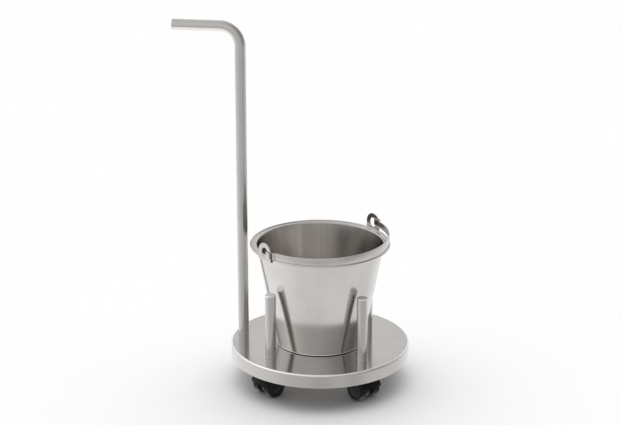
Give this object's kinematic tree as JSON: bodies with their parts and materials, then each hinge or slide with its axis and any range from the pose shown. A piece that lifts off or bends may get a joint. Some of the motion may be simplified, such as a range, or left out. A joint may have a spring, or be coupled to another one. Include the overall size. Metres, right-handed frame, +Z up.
{
  "type": "kick bucket",
  "caption": "Lift-out tapered steel bucket with a swinging bail, standing between upright posts on a round base that rolls on twin-wheel casters and is pushed by a bent tube handle.",
  "frame": {"origin": "on the floor, under the centre of the round base", "axes": "+Z up; +X to the right and +Y away from the viewer of the picture, so the push handle stands at -X with its arm pointing along -X"},
  "size_m": [0.5491, 0.42, 0.852],
  "materials": {
    "tray_steel": "polished stainless sheet",
    "bucket_steel": "polished stainless sheet",
    "bail_steel": "satin stainless strip",
    "tube_steel": "polished stainless tube",
    "under_steel": "plain steel",
    "weld": "dressed weld",
    "plug": "welded steel end disc",
    "zinc": "zinc plated",
    "hood": "moulded nylon",
    "wheel": "moulded nylon",
    "tyre": "smooth tread"
  },
  "bodies": {
    "trolley": {"tray": "tray_steel", "boss_rr": "under_steel", "boss_rl": "under_steel", "boss_fl": "under_steel", "boss_fr": "under_steel", "post_rr": "tube_steel", "post_rl": "tube_steel", "post_fl": "tube_steel", "post_fr": "tube_steel", "post_caps": "tube_steel", "post_welds": "weld", "handle_tube": "tube_steel", "handle_plug": "plug", "handle_weld": "weld", "handle_plate": "under_steel", "caster_rr_stem": "zinc", "caster_rl_stem": "zinc", "caster_fl_stem": "zinc", "caster_fr_stem": "zinc", "caster_rr_clip": "zinc", "caster_rl_clip": "zinc", "caster_fl_clip": "zinc", "caster_fr_clip": "zinc"},
    "bucket": {"bucket": "bucket_steel", "ear_near": "bail_steel", "ear_far": "bail_steel"},
    "bail": {"bail": "bail_steel"},
    "caster_rr": {"caster_rr_hood": "hood", "caster_rr_axle": "zinc"},
    "wheel_rr_a": {"caster_rr_wheel_a": "wheel", "caster_rr_tyre_a": "tyre"},
    "wheel_rr_b": {"caster_rr_wheel_b": "wheel", "caster_rr_tyre_b": "tyre"},
    "caster_rl": {"caster_rl_hood": "hood", "caster_rl_axle": "zinc"},
    "wheel_rl_a": {"caster_rl_wheel_a": "wheel", "caster_rl_tyre_a": "tyre"},
    "wheel_rl_b": {"caster_rl_wheel_b": "wheel", "caster_rl_tyre_b": "tyre"},
    "caster_fl": {"caster_fl_hood": "hood", "caster_fl_axle": "zinc"},
    "wheel_fl_a": {"caster_fl_wheel_a": "wheel", "caster_fl_tyre_a": "tyre"},
    "wheel_fl_b": {"caster_fl_wheel_b": "wheel", "caster_fl_tyre_b": "tyre"},
    "caster_fr": {"caster_fr_hood": "hood", "caster_fr_axle": "zinc"},
    "wheel_fr_a": {"caster_fr_wheel_a": "wheel", "caster_fr_tyre_a": "tyre"},
    "wheel_fr_b": {"caster_fr_wheel_b": "wheel", "caster_fr_tyre_b": "tyre"}
  },
  "joints": [
    {"name": "bucket_lift", "type": "slide", "parent": "trolley", "child": "bucket", "axis": [0, 0, 1], "range_m": [0, 0.17]},
    {"name": "bail_swing", "type": "hinge", "parent": "bucket", "child": "bail", "pos_m": [0.00284, -0.00336, 0.3526], "axis": [-0.7637, -0.6453, -0.0183], "range_deg": [0, 181.6]},
    {"name": "caster_rr_swivel", "type": "hinge", "parent": "trolley", "child": "caster_rr", "pos_m": [0.10579, 0.0894, 0.05], "axis": [0, 0, 1], "continuous": true},
    {"name": "wheel_rr_a_roll", "type": "hinge", "parent": "caster_rr", "child": "wheel_rr_a", "pos_m": [0.11877, 0.10037, 0.025], "axis": [-0.6455, 0.7638, 0], "continuous": true},
    {"name": "wheel_rr_b_roll", "type": "hinge", "parent": "caster_rr", "child": "wheel_rr_b", "pos_m": [0.11877, 0.10037, 0.025], "axis": [-0.6455, 0.7638, 0], "continuous": true},
    {"name": "caster_rl_swivel", "type": "hinge", "parent": "trolley", "child": "caster_rl", "pos_m": [-0.0894, 0.10579, 0.05], "axis": [0, 0, 1], "continuous": true},
    {"name": "wheel_rl_a_roll", "type": "hinge", "parent": "caster_rl", "child": "wheel_rl_a", "pos_m": [-0.10037, 0.11877, 0.025], "axis": [-0.7638, -0.6455, 0], "continuous": true},
    {"name": "wheel_rl_b_roll", "type": "hinge", "parent": "caster_rl", "child": "wheel_rl_b", "pos_m": [-0.10037, 0.11877, 0.025], "axis": [-0.7638, -0.6455, 0], "continuous": true},
    {"name": "caster_fl_swivel", "type": "hinge", "parent": "trolley", "child": "caster_fl", "pos_m": [-0.10579, -0.0894, 0.05], "axis": [0, 0, 1], "continuous": true},
    {"name": "wheel_fl_a_roll", "type": "hinge", "parent": "caster_fl", "child": "wheel_fl_a", "pos_m": [-0.11877, -0.10037, 0.025], "axis": [0.6455, -0.7638, 0], "continuous": true},
    {"name": "wheel_fl_b_roll", "type": "hinge", "parent": "caster_fl", "child": "wheel_fl_b", "pos_m": [-0.11877, -0.10037, 0.025], "axis": [0.6455, -0.7638, 0], "continuous": true},
    {"name": "caster_fr_swivel", "type": "hinge", "parent": "trolley", "child": "caster_fr", "pos_m": [0.0894, -0.10579, 0.05], "axis": [0, 0, 1], "continuous": true},
    {"name": "wheel_fr_a_roll", "type": "hinge", "parent": "caster_fr", "child": "wheel_fr_a", "pos_m": [0.10037, -0.11877, 0.025], "axis": [0.7638, 0.6455, 0], "continuous": true},
    {"name": "wheel_fr_b_roll", "type": "hinge", "parent": "caster_fr", "child": "wheel_fr_b", "pos_m": [0.10037, -0.11877, 0.025], "axis": [0.7638, 0.6455, 0], "continuous": true}
  ]
}
